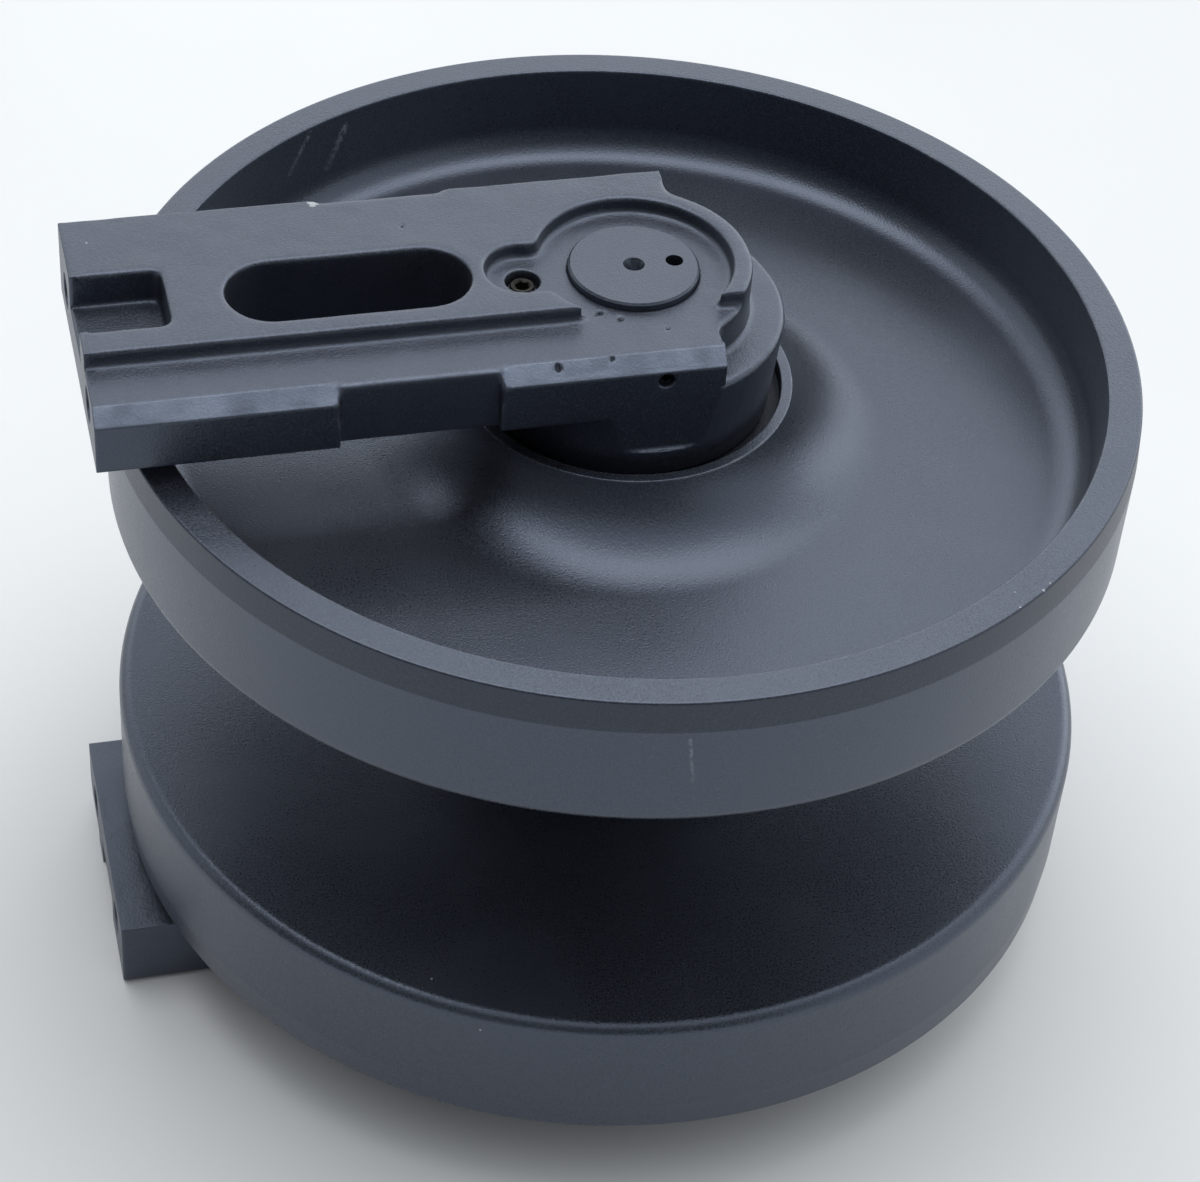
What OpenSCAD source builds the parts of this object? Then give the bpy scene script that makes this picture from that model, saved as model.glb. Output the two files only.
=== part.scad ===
// Front idler for a small tracked excavator, lying on its side.
// The axle runs along Z through the wheel's centre, and the two guide brackets point to -X.

/* [Wheel] */
// Radius of the rims where the track runs
tread_r = 200; // [170:1:240]
// Width across both rims
wheel_w = 230; // [215:1:260]
// Width of the groove between the rims
groove_w = 112; // [95:1:120]
// Wall of the barrel between the oil space and the groove
barrel_wall = 30; // [20:0.5:45]
// Fillet between the barrel and the groove's sides
groove_root_fillet = 14; // [4:0.5:24]
// Rounding of the groove's outer edges
groove_edge_r = 5.4; // [1:0.1:9]
// Thickness of each rim under the tread
rim_t = 14; // [9:0.5:20]
// Thickness of the web between the groove and the dished face
web_t = 20; // [14:0.5:26]
// Width of the tapered band at each outer edge
edge_taper_w = 13.2; // [4:0.1:20]
// How much the tapered band drops in radius
edge_taper_d = 1; // [0.2:0.1:4]
// How much the rim's inner wall leans
dish_draft = 2; // [0.2:0.1:5]
// Fillet between the rim's inner wall and the dished face
dish_fillet = 14; // [4:0.5:18]
// How far the hub's end lies below the rim's face
hub_drop = 15; // [8:0.5:22]
// Width of the ring at the hub's end
hub_ring_w = 4.4; // [3:0.1:10]
// Radius of the flare from the hub down to the dished face
hub_flare_r = 42; // [34:0.5:60]

/* [Axle and bearings] */
// Diameter of the axle
shaft_d = 50; // [44:0.5:54]
// How far the axle's end stands above the pocket's floor
shaft_proud = 3; // [0.5:0.1:5]
// Chamfer at the axle's ends
shaft_chamfer = 0.8; // [0.2:0.1:3]
// Mouth of the centre hole in the axle's end
centre_hole_d = 8.3; // [6:0.1:12]
// Diameter of the centre hole below its cone
centre_pilot_d = 2.5; // [1:0.1:5]
// Full angle of the centre hole's cone
centre_angle = 60; // [45:5:90]
// Depth of the centre hole
centre_hole_depth = 9; // [8:0.5:20]
// Diameter of the pulling hole in the axle's end
pull_hole_d = 6.8; // [4:0.1:9]
// Depth of the pulling hole
pull_hole_depth = 18; // [8:0.5:24]
// Distance of the pulling hole from the axle's centre
pull_hole_off = 15.8; // [12:0.1:19]
// Wall of the bearing bushes
bush_wall = 5; // [3:0.25:6]
// Length of each bush in the hub
bush_len = 50; // [30:1:60]
// Width of the bush's flange beyond its wall
bush_flange_w = 6; // [3:0.25:7]
// Thickness of the bush's flange
bush_flange_t = 4; // [2:0.25:6]
// Depth of the oil space around the axle, beyond the bush's bore in the hub
oil_space_d = 4; // [1:0.25:8]
// Radial running clearance of the axle in the bushes
run_gap = 0.05; // [0.02:0.01:0.09]
// Radial gap of pieces that are pushed or pressed together
seat_gap = 0.02; // [0.01:0.01:0.05]
// End play between the bush's flange and the bracket
end_play = 0.3; // [0.2:0.05:0.6]

/* [Seals] */
// Gap between the bush's flange and the seal rings' bore
seal_bore_gap = 3.95; // [1:0.05:6]
// Height of each seal ring
seal_ring_h = 14; // [11:0.25:16]
// Wall of the seal ring's body, inside its rubber ring
seal_ring_wall = 3.5; // [2.5:0.25:6]
// Room for the rubber ring between the seal ring and its housing
toric_space = 6.5; // [5:0.25:8]
// Gap between the seal ring's flange and its housing
seal_flange_gap = 2; // [1:0.25:3]
// Thickness of the seal ring's flange
seal_flange_t = 4.5; // [3:0.25:6]
// Room behind each seal ring
seal_back_gap = 0.5; // [0.3:0.1:1]
// Oil film between the two seal faces
seal_film = 0.02; // [0.01:0.01:0.1]
// Depth of the seal faces below the hub's end
seal_face_depth = 4; // [2:0.5:6]
// Thickness of the axle's rubber rings
o_ring_d = 3.5; // [2.5:0.1:5]
// Distance of the axle's rubber rings outside the seal housing
o_ring_out = 7; // [4:0.25:10]
// Room around each rubber ring in its groove
o_ring_room = 0.04; // [0.02:0.01:0.2]

/* [Bracket arm] */
// Reach from the axle to the end face
arm_reach = 210; // [190:1:260]
// Width across the guide pads
arm_w = 110; // [104:0.5:112]
// Gap between the rim and the arm
rim_clear = 8; // [4:0.5:14]
// Thickness of the arm
arm_t = 32.5; // [29:0.5:38]
// Height of the step in the outer face
step_h = 6.5; // [4:0.25:8]
// Distance of the step from the arm's middle
step_y = 27; // [22:0.5:32]
// Fillet at the foot of the step and in the pocket
foot_fillet = 2; // [0.5:0.25:3.5]
// Chamfer along the low side's pads
pad_chamfer = 6; // [2:0.25:7]
// Chamfer along the high side's edge
edge_chamfer = 2.2; // [0.5:0.1:4]
// Length of the low side's pad at the arm's end
low_pad_len = 88.5; // [70:0.5:95]
// Length of the recess between the low side's pads
low_gap_len = 59.5; // [40:0.5:70]
// Length of the high side's pad at the arm's end
high_pad_len = 98; // [70:0.5:105]
// Length of the recess between the high side's pads
high_gap_len = 48; // [30:0.5:60]
// Depth of the recess between the low side's pads
low_gap_d = 3.7; // [1:0.1:6]
// Depth of the recess between the high side's pads
high_gap_d = 1.8; // [0.5:0.1:6]
// How far the inner pad reaches past the axle
nose_pad_x = 23; // [15:0.5:30]
// Length of the oval slot
slot_len = 92; // [50:0.5:96]
// Width of the oval slot
slot_w = 35; // [20:0.5:40]
// Wall between the oval slot and the oil plug's lobe
slot_wall = 5.5; // [3:0.25:12]
// Length of the notch in the end
notch_len = 33.5; // [15:0.5:40]
// Width of the notch
notch_w = 32.6; // [20:0.5:40]
// Offset of the notch towards the high side
notch_off = 2.4; // [0:0.1:6]
// Depth of the notch
notch_d = 14; // [6:0.5:18]
// Corner radius of the notch
notch_r = 4; // [1:0.25:8]
// Diameter of the threaded holes in the end face
bolt_hole_d = 13.8; // [10:0.1:16]
// Depth of the threaded holes
bolt_hole_depth = 32; // [20:1:36]
// Distance between the threaded holes
bolt_spacing = 68; // [60:0.5:72]
// How far the threaded holes lie outside the low side's middle
bolt_rise = 2; // [0:0.25:3]

/* [Bracket boss] */
// Wall of the boss's end around the seals
boss_wall = 6; // [5:0.25:9]
// Draft of the boss's side in degrees
boss_draft = 5; // [0:0.5:7]
// Radial gap between the boss's end and the hub's counterbore
boss_gap = 5; // [2:0.25:7]
// How far the boss reaches into the hub
boss_engage = 5; // [2:0.25:7]
// Gap between the boss's end and the counterbore's floor
boss_end_gap = 1; // [0.5:0.25:3]
// Height of the boss's shoulder above the arm's inner face
shoulder_h = 11.5; // [6:0.5:18]
// Rounding of the shoulder
shoulder_r = 2.5; // [0.5:0.25:5]
// Height of the boss left round above the hub
round_h = 7; // [3:0.5:12]
// Wall of the round nose around the pocket
nose_wall = 7.5; // [4:0.25:9]
// Fillet between the nose and the pads
nose_fillet = 7; // [3:0.5:9]
// Room around the axle's end in its pocket
pocket_gap = 12.5; // [8:0.25:14]
// Radius of the lobe that holds the oil plug
lobe_r = 14.5; // [12:0.25:16]
// How far the oil plug lies outside the pocket's wall
plug_out = 5.5; // [3:0.25:7]
// Rounding where the lobe meets the pocket
lobe_blend = 5; // [2:0.25:8]
// Wall of the sleeve that holds the axle inside the seals
sleeve_wall = 9; // [5:0.5:11]

/* [Plug and pin] */
// Diameter of the oil plug
plug_d = 9.7; // [8:0.1:11]
// Length of the oil plug
plug_len = 10; // [7:0.5:14]
// Width across flats of the plug's socket
plug_socket = 5; // [3:0.5:6]
// Depth of the plug's socket
plug_socket_d = 5; // [3:0.5:6]
// Depth of the plug's top below the pocket's floor
plug_drop = 2; // [0.5:0.25:4]
// Diameter of the plug's counterbore
plug_bore_d = 13.4; // [12:0.1:16]
// Depth of the plug's counterbore
plug_bore_depth = 6; // [4:0.25:9]
// Diameter of the oil passage below the plug
oil_hole_d = 5; // [3:0.25:6]
// Diameter of the lock pin
pin_d = 6; // [4:0.25:8]
// Depth of the lock pin's middle below the low face
pin_depth = 10; // [9.5:0.25:12]
// Depth of the pin's end inside the guide face
pin_recess = 2; // [0.5:0.25:5]
// How far the pin reaches past the axle's middle
pin_past = 10; // [4:0.5:16]
// Bore of the hollow lock pin
pin_bore_d = 2.6; // [1:0.1:3]

/* [Hidden] */
$fn = 96;

// Overshoot of cutting shapes
over = 1;
// Overlap where two round shapes touch, so that they join
lap = 0.02;
paint = "#3a4049";
steel = "#8d9196";
bronze = "#a9824c";
rubber = "#1d1d1f";

// Heights along the axle
half_w = wheel_w / 2;
dish_z = groove_w / 2 + web_t;
hub_z = half_w - hub_drop;
boss_z = hub_z - boss_engage;
counter_z = boss_z - boss_end_gap;
seal_z = hub_z - seal_face_depth;
hub_house_z = seal_z - seal_ring_h - seal_back_gap;
boss_house_z = seal_z + seal_ring_h + seal_back_gap;
sleeve_z = hub_house_z + bush_flange_t + end_play;
arm_z = half_w + rim_clear;
face_z = arm_z + arm_t;
low_z = face_z - step_h;
shoulder_z = arm_z + shoulder_h;
flat_z = hub_z + round_h;
shaft_z = low_z + shaft_proud;
o_ring_z = boss_house_z + o_ring_out;
pin_z = low_z - pin_depth;
plug_top_z = low_z - plug_drop;

// Radii about the axle, from the axle outwards
shaft_r = shaft_d / 2;
shaft_fit_r = shaft_r + seat_gap;
sleeve_r = shaft_r + sleeve_wall;
bush_bore_r = shaft_r + run_gap;
bush_r = bush_bore_r + bush_wall;
bush_flange_r = bush_r + bush_flange_w;
oil_space_r = bush_r + oil_space_d;
groove_root_r = oil_space_r + barrel_wall;
seal_ring_in_r = bush_flange_r + seal_bore_gap;
seal_ring_body_r = seal_ring_in_r + seal_ring_wall;
seal_house_r = seal_ring_body_r + toric_space;
boss_end_r = seal_house_r + boss_wall;
boss_r = boss_end_r + (shoulder_z - boss_z) * tan(boss_draft);
counter_r = boss_end_r + boss_gap;
hub_end_r = counter_r + hub_ring_w;
flare_r = hub_end_r + sqrt(pow(hub_flare_r, 2) - pow(dish_z + hub_flare_r - hub_z, 2));
dish_r = tread_r - rim_t;
pocket_r = shaft_r + pocket_gap;
nose_r = pocket_r + nose_wall;
plug_off = pocket_r + plug_out;
seal_flange_r = seal_house_r - seal_flange_gap;
toric_r = toric_space / 2 - seat_gap;
toric_mid_r = seal_ring_body_r + toric_space / 2;
toric_back = seal_flange_t + (seal_ring_h - seal_flange_t) / 2;
o_groove_w = o_ring_d + 2 * o_ring_room;
o_groove_r = shaft_fit_r - o_ring_d - o_ring_room;

// Places along the arm
pad_y = arm_w / 2;
low_gap_x = low_pad_len - arm_reach;
high_gap_x = high_pad_len - arm_reach;
slot_r = slot_w / 2;
slot_end_x = -plug_off - lobe_r - slot_wall;
bolt_z = (arm_z + low_z) / 2 + bolt_rise;
pin_start_y = pin_recess - pad_y;
pin_len = pin_past - pin_start_y;

// Distance along a line of centres, and beside it, of a circle of radius r3 that
// touches circles of radius r1 and r2 whose centres are d apart
function touch_x(r1, r2, r3, d) = (pow(r1 + r3, 2) - pow(r2 + r3, 2) + d * d) / (2 * d);
function touch_y(r1, r2, r3, d) = sqrt(pow(r1 + r3, 2) - pow(touch_x(r1, r2, r3, d), 2));

// The other end of the axle holds the same pieces, turned over about X
module other_end() rotate([180, 0, 0]) children();

// A profile in Y and Z, drawn out along X from x0 to x1
module along_x(x0, x1) translate([x0, 0, 0]) rotate([90, 0, 90]) linear_extrude(x1 - x0) children();

module drill_z(x, y, z0, z1, d) translate([x, y, z0]) cylinder(h = z1 - z0, d = d);

// Corner of a square cut, left behind as a fillet of radius r
module corner_fillet(r) difference() {
    square(r);
    translate([r, r]) circle(r);
}

// Profile of a round pocket of radius r with a fillet at its foot
module pocket_profile(r, h) difference() {
    square([r, h]);
    translate([r, 0]) mirror([1, 0]) corner_fillet(foot_fillet);
}

// Wheel

module groove_profile() {
    half = groove_w / 2;
    f = groove_root_fillet;
    e = groove_edge_r;
    translate([groove_root_r + f, -half]) square([tread_r + over - groove_root_r - f, groove_w]);
    translate([groove_root_r, f - half]) square([f + over, groove_w - 2 * f]);
    for (side = [-1, 1]) {
        translate([groove_root_r + f, side * (half - f)]) circle(f);
        difference() {
            translate([tread_r - e, side > 0 ? half - over : -half - e]) square([e + over, e + over]);
            translate([tread_r - e, side * (half + e)]) circle(e);
        }
    }
}

module hub_end_profile() difference() {
    translate([0, dish_z - over]) square([flare_r, hub_z - dish_z + over]);
    translate([flare_r, dish_z + hub_flare_r]) circle(hub_flare_r);
}

module dish_profile() difference() {
    union() {
        wall_r = dish_r - dish_draft;
        translate([0, dish_z]) square([wall_r - dish_fillet, half_w + over - dish_z]);
        translate([wall_r - dish_fillet, dish_z + dish_fillet]) circle(dish_fillet);
        polygon([[0, dish_z + dish_fillet], [wall_r, dish_z + dish_fillet], [dish_r, half_w],
            [dish_r, half_w + over], [0, half_w + over]]);
    }
    hub_end_profile();
}

module hub_bore_profile() {
    translate([0, counter_z]) square([counter_r, half_w]);
    translate([0, hub_house_z]) square([seal_house_r, counter_z + over - hub_house_z]);
    square([bush_r + seat_gap, hub_house_z + over]);
    square([oil_space_r, hub_house_z - bush_len]);
}

module idler_wheel() color(paint) rotate_extrude() difference() {
    edge_r = tread_r - edge_taper_d;
    taper_z = half_w - edge_taper_w;
    polygon([[0, -half_w], [edge_r, -half_w], [tread_r, -taper_z], [tread_r, taper_z],
        [edge_r, half_w], [0, half_w]]);
    groove_profile();
    for (side = [0, 1]) mirror([0, side]) {
        dish_profile();
        hub_bore_profile();
    }
}

// Axle

module shaft_profile() difference() {
    polygon([[0, -shaft_z], [shaft_r - shaft_chamfer, -shaft_z], [shaft_r, shaft_chamfer - shaft_z],
        [shaft_r, shaft_z - shaft_chamfer], [shaft_r - shaft_chamfer, shaft_z], [0, shaft_z]]);
    for (side = [0, 1]) mirror([0, side])
        translate([o_groove_r, o_ring_z - o_groove_w / 2]) square([shaft_r, o_groove_w]);
}

module centre_hole() {
    lean = tan(centre_angle / 2);
    cone_h = (centre_hole_d - centre_pilot_d) / 2 / lean;
    drill_z(0, 0, shaft_z - centre_hole_depth, shaft_z, centre_pilot_d);
    translate([0, 0, shaft_z - cone_h])
        cylinder(h = cone_h + over, d1 = centre_pilot_d, d2 = centre_hole_d + 2 * over * lean);
}

module shaft_end_holes() {
    centre_hole();
    drill_z(pull_hole_off, 0, shaft_z - pull_hole_depth, shaft_z + over, pull_hole_d);
    pin_hole();
}

module axle_shaft() color(steel) difference() {
    rotate_extrude() shaft_profile();
    shaft_end_holes();
    other_end() shaft_end_holes();
}

// Bracket

module pin_hole() translate([0, -pad_y - over, pin_z]) rotate([-90, 0, 0])
    cylinder(h = pin_len + pin_recess + over, d = pin_d + 2 * seat_gap);

// Profile of the arm's low side, at -Y
module low_side(half, chamfer) difference() {
    translate([-half, arm_z]) square([half, arm_t]);
    difference() {
        translate([-half - over, low_z]) square([half + over - step_y, step_h + over]);
        translate([-step_y, low_z]) mirror([1, 0]) corner_fillet(foot_fillet);
    }
    polygon([[-half - over, low_z - chamfer - over], [-half + chamfer + over, low_z + over],
        [-half - over, low_z + over]]);
}

// Profile of the arm's high side, at +Y
module high_side(half) difference() {
    translate([0, arm_z]) square([half, arm_t]);
    polygon([[half + over, face_z - edge_chamfer - over], [half + over, face_z + over],
        [half - edge_chamfer - over, face_z + over]]);
}

// Both sides drawn out along X, each with its pads and the recess between them
module arm_bar() {
    end_x = nose_r + over;
    along_x(-arm_reach, low_gap_x) low_side(pad_y, pad_chamfer);
    along_x(low_gap_x, low_gap_x + low_gap_len) low_side(pad_y - low_gap_d, 0);
    along_x(low_gap_x + low_gap_len, end_x) low_side(pad_y, pad_chamfer);
    along_x(-arm_reach, high_gap_x) high_side(pad_y);
    along_x(high_gap_x, high_gap_x + high_gap_len) high_side(pad_y - high_gap_d);
    along_x(high_gap_x + high_gap_len, end_x) high_side(pad_y);
}

// Plan of the arm's end beyond the axle: inner pads, round nose and the fillets between them
module nose_plan() {
    reach = nose_r + nose_fillet - lap;
    fx = nose_pad_x + nose_fillet;
    fy = sqrt(reach * reach - fx * fx);
    translate([0, -pad_y]) square([nose_pad_x, arm_w]);
    circle(nose_r);
    for (side = [0, 1]) mirror([0, side]) difference() {
        polygon([[0, fy], [fx, fy], [0, 0]]);
        translate([fx, fy]) circle(nose_fillet);
    }
}

module arm() intersection() {
    arm_bar();
    union() {
        translate([-arm_reach, -pad_y, arm_z]) cube([arm_reach, arm_w, arm_t]);
        translate([0, 0, shoulder_z]) linear_extrude(face_z - shoulder_z) nose_plan();
    }
}

// Half of the drafted boss, with a rounding between its side and its shoulder
module boss_profile() {
    r = shoulder_r;
    x = boss_r - r * tan(boss_draft) - r / cos(boss_draft);
    polygon([[0, boss_z], [boss_end_r, boss_z],
        [x + r * cos(boss_draft), shoulder_z - r - r * sin(boss_draft)], [x, shoulder_z], [0, shoulder_z]]);
    translate([x, shoulder_z - r]) circle(r);
}

// Round boss with flats that carry on the guide pads' faces
module boss() difference() {
    rotate_extrude() boss_profile();
    for (side = [0, 1]) mirror([0, side, 0])
        translate([-boss_r, pad_y, flat_z]) cube([2 * boss_r, boss_r, shoulder_z]);
}

// Space inside the boss: seal housing around a sleeve that carries the axle
module boss_bore() {
    rotate_extrude() translate([sleeve_r, boss_z - over])
        square([seal_house_r - sleeve_r, boss_house_z - boss_z + over]);
    drill_z(0, 0, sleeve_z - over, face_z + over, 2 * shaft_fit_r);
}

module sleeve() translate([0, 0, sleeve_z]) cylinder(h = boss_house_z - sleeve_z, r = sleeve_r);

// Pocket around the axle's end, with the lobe for the oil plug
module pocket() {
    h = step_h + over;
    bx = touch_x(pocket_r, lobe_r, lobe_blend, plug_off);
    by = touch_y(pocket_r, lobe_r, lobe_blend, plug_off);
    translate([0, 0, low_z]) {
        rotate_extrude() pocket_profile(pocket_r, h);
        translate([-plug_off, 0, 0]) rotate_extrude() pocket_profile(lobe_r, h);
        linear_extrude(h) for (side = [0, 1]) mirror([0, side]) difference() {
            polygon([[-bx, by], [-plug_off, 0], [0, 0]]);
            translate([-bx, by]) circle(lobe_blend);
        }
    }
}

module plug_holes() {
    drill_z(-plug_off, 0, low_z - plug_bore_depth, low_z + over, plug_bore_d);
    drill_z(-plug_off, 0, plug_top_z - plug_len, low_z, plug_d + 2 * seat_gap);
    drill_z(-plug_off, 0, boss_house_z - over, low_z - plug_len, oil_hole_d);
}

module slot() {
    start = slot_end_x - slot_r;
    run = slot_len - slot_w;
    translate([0, 0, arm_z - over]) linear_extrude(arm_t + 2 * over) {
        translate([start - run, -slot_r]) square([run, slot_w]);
        for (x = [start - run, start]) translate([x, 0]) circle(slot_r);
    }
}

module notch_plan() {
    translate([-over, 0]) square([notch_len + over - notch_r, notch_w]);
    translate([0, notch_r]) square([notch_len, notch_w - 2 * notch_r]);
    for (y = [notch_r, notch_w - notch_r]) translate([notch_len - notch_r, y]) circle(notch_r);
}

module notch() translate([-arm_reach, notch_off - notch_w / 2, face_z - notch_d])
    linear_extrude(notch_d + over) notch_plan();

module bolt_holes() for (side = [-1, 1])
    translate([-arm_reach - over, side * bolt_spacing / 2, bolt_z]) rotate([0, 90, 0])
        cylinder(h = bolt_hole_depth + over, d = bolt_hole_d);

module bracket() difference() {
    union() {
        arm();
        boss();
        sleeve();
    }
    boss_bore();
    pocket();
    plug_holes();
    slot();
    notch();
    bolt_holes();
    pin_hole();
}

module upper_bracket() color(paint) bracket();

module lower_bracket() color(paint) other_end() bracket();

// Bearings and seals

module bushing() rotate_extrude() {
    translate([bush_bore_r, hub_house_z - bush_len]) square([bush_wall, bush_len]);
    translate([bush_bore_r, hub_house_z]) square([bush_flange_r - bush_bore_r, bush_flange_t]);
}

module upper_bushing() color(bronze) bushing();

module lower_bushing() color(bronze) other_end() bushing();

// Seal ring with its face at the seal plane, standing up from it
module seal_ring() translate([0, 0, seal_film / 2]) rotate_extrude() {
    translate([seal_ring_in_r, 0]) square([seal_flange_r - seal_ring_in_r, seal_flange_t]);
    translate([seal_ring_in_r, 0]) square([seal_ring_body_r - seal_ring_in_r, seal_ring_h]);
}

module toric() translate([0, 0, toric_back]) rotate_extrude() translate([toric_mid_r, 0]) circle(toric_r);

module at_seal() translate([0, 0, seal_z]) children();

module upper_turning_seal_ring() color(steel) at_seal() other_end() seal_ring();

module lower_turning_seal_ring() color(steel) other_end() at_seal() other_end() seal_ring();

module upper_fixed_seal_ring() color(steel) at_seal() seal_ring();

module lower_fixed_seal_ring() color(steel) other_end() at_seal() seal_ring();

module upper_turning_toric() color(rubber) at_seal() other_end() toric();

module lower_turning_toric() color(rubber) other_end() at_seal() other_end() toric();

module upper_fixed_toric() color(rubber) at_seal() toric();

module lower_fixed_toric() color(rubber) other_end() at_seal() toric();

module axle_o_ring() translate([0, 0, o_ring_z]) rotate_extrude()
    translate([shaft_fit_r - o_ring_d / 2 - seat_gap, 0]) circle(d = o_ring_d);

module upper_axle_o_ring() color(rubber) axle_o_ring();

module lower_axle_o_ring() color(rubber) other_end() axle_o_ring();

// Plug and pin

module oil_plug() difference() {
    drill_z(-plug_off, 0, plug_top_z - plug_len, plug_top_z, plug_d);
    translate([-plug_off, 0, plug_top_z - plug_socket_d])
        cylinder(h = plug_socket_d + over, d = plug_socket / cos(30), $fn = 6);
}

module upper_oil_plug() color(steel) oil_plug();

module lower_oil_plug() color(steel) other_end() oil_plug();

module lock_pin() translate([0, pin_start_y, pin_z]) rotate([-90, 0, 0]) difference() {
    cylinder(h = pin_len, d = pin_d);
    translate([0, 0, -over]) cylinder(h = pin_len + 2 * over, d = pin_bore_d);
}

module upper_lock_pin() color(steel) lock_pin();

module lower_lock_pin() color(steel) other_end() lock_pin();

idler_wheel();
axle_shaft();
upper_bracket();
lower_bracket();
upper_bushing();
lower_bushing();
upper_turning_seal_ring();
lower_turning_seal_ring();
upper_fixed_seal_ring();
lower_fixed_seal_ring();
upper_turning_toric();
lower_turning_toric();
upper_fixed_toric();
lower_fixed_toric();
upper_axle_o_ring();
lower_axle_o_ring();
upper_lock_pin();
lower_lock_pin();
upper_oil_plug();
lower_oil_plug();
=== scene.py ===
"""Looks of an excavator's front idler that lies on its side on a pale floor.

The wheel is turned from its section, the two guide brackets are castings rounded from their solids,
and the oil plugs and lock pins get shapes of their own. Sizes are in metres, as in the frame.
"""
import math

import bmesh
import bpy
import numpy as np
from mathutils import Matrix, Vector, noise
from mathutils.bvhtree import BVHTree


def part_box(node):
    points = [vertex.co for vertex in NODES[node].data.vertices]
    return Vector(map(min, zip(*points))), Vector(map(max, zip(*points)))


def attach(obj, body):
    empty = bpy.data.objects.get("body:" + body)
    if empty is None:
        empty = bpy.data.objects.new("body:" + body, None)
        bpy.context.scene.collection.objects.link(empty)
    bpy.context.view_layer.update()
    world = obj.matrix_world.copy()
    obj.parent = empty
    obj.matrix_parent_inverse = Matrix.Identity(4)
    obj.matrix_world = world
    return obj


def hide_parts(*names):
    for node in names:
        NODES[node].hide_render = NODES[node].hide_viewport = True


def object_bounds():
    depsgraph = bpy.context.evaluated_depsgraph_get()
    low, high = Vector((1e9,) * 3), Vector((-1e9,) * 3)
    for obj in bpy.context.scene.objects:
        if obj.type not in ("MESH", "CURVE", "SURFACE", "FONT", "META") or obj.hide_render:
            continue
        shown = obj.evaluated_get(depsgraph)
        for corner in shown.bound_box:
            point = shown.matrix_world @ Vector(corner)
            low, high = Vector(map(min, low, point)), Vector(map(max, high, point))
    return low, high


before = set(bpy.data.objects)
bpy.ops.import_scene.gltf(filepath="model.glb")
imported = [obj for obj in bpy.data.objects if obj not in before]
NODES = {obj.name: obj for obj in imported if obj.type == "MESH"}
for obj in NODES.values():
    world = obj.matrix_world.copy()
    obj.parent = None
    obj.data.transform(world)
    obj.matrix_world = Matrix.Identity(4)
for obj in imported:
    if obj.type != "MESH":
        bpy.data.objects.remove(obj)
cad_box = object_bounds()
MM = 0.001
FIXED = "axle_and_brackets"
TURNING = "wheel"

# Sizes read from the frame
WHEEL_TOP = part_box("idler_wheel")[1]
TREAD_R, HALF_W = WHEEL_TOP.x, WHEEL_TOP.z
ARM_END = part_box("upper_bracket")[0].x
AXLE_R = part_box("axle_shaft")[1].x
FLOOR_Z = cad_box[0].z

# Section of the wheel
GROOVE_HALF = 56 * MM
GROOVE_ROOT_R = 64.05 * MM
GROOVE_ROOT_FILLET = 14 * MM
GROOVE_EDGE = 5.4 * MM
BAND_W = 13.2 * MM
BAND_DROP = 1 * MM
BAND_SOFTNESS = 4 * MM
RIM_T = 14 * MM
RIM_EDGE = 0.9 * MM
DISH_Z = 76 * MM
DISH_DRAFT = 2 * MM
DISH_FILLET = 14 * MM
HUB_R = 65.4 * MM
HUB_Z = 100 * MM
HUB_EDGE = 0.6 * MM
FLARE_R = 42 * MM
COUNTER_R = 61 * MM
COUNTER_Z = 94 * MM
SEAL_R = 50 * MM
SEAL_Z = 81.5 * MM
BUSH_R = 30.07 * MM
BUSH_Z = 31.5 * MM
OIL_R = 34.05 * MM
GUARD = 0.6 * MM
WHEEL_SIDES = 320
LATHE_PATH_R = 0.1

# Casting of the brackets
PAD_Y = 55 * MM
LOW_Z = 149 * MM
SHOULDER_Z = 134.5 * MM
PLUG_LOW, PLUG_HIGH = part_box("upper_oil_plug")
PLUG_X = (PLUG_LOW.x + PLUG_HIGH.x) / 2
PLUG_BORE_R = 6.7 * MM
PIN_LOW, PIN_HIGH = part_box("upper_lock_pin")
PIN_X, PIN_Z = (PIN_LOW.x + PIN_HIGH.x) / 2, (PIN_LOW.z + PIN_HIGH.z) / 2
CAST_GRID = 0.6 * MM
EDGE_PASSES = 2
CAST_PASSES = 48
CAST_WAVE = 0.16 * MM
CAST_WAVE_LEN = 17 * MM
CAST_TRIANGLES = 150000
# Widths that stay crisp beside the pads, the arm's end, the axle's bore and the plug's bore
CRISP_PAD = 7.5 * MM
CRISP_END = 3 * MM
CRISP_AXLE = 3 * MM
CRISP_PLUG = 2 * MM
# Width without waves beside the machined faces
EVEN_EDGE = 1.5 * MM
# How far below the low face the pits, the plug's worn rim and the painted sheen on the pads' chamfers reach
PIT_REACH = 6 * MM
RIM_REACH = 2 * MM
SHEEN_REACH = 8 * MM
# Depths and widths that set where the skin is worn or pitted, where painted shade darkens its hollows and
# where a painted sheen lightens the pads' chamfers
SKIN_EVEN = 0.08 * MM
WORN_FULL = 0.30 * MM
HOLLOW_SHADE_FULL = 0.40 * MM
PITTED_FULL = 0.3 * MM
WORN_RIM_W = 0.6 * MM
UNWORN_PIN_R = 5.5 * MM
# Painted sheen on the near pads' chamfers: its width, and how squarely a face must turn up towards the front
SHEEN_W = 7 * MM
SHEEN_FACING = 0.93
SHEEN_FACING_RANGE = 0.05


# Nodes and meshes

def add_node(tree, kind, inputs=None, **settings):
    """A new node with its settings, whose inputs are set to values or linked to sockets."""
    node = tree.nodes.new(kind)
    for key, value in settings.items():
        setattr(node, key, value)
    for key, value in (inputs or {}).items():
        if isinstance(value, bpy.types.NodeSocket):
            tree.links.new(value, node.inputs[key])
        else:
            node.inputs[key].default_value = value
    return node


def new_object(name, mesh):
    made = bpy.data.objects.new(name, mesh)
    bpy.context.scene.collection.objects.link(made)
    return made


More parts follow.
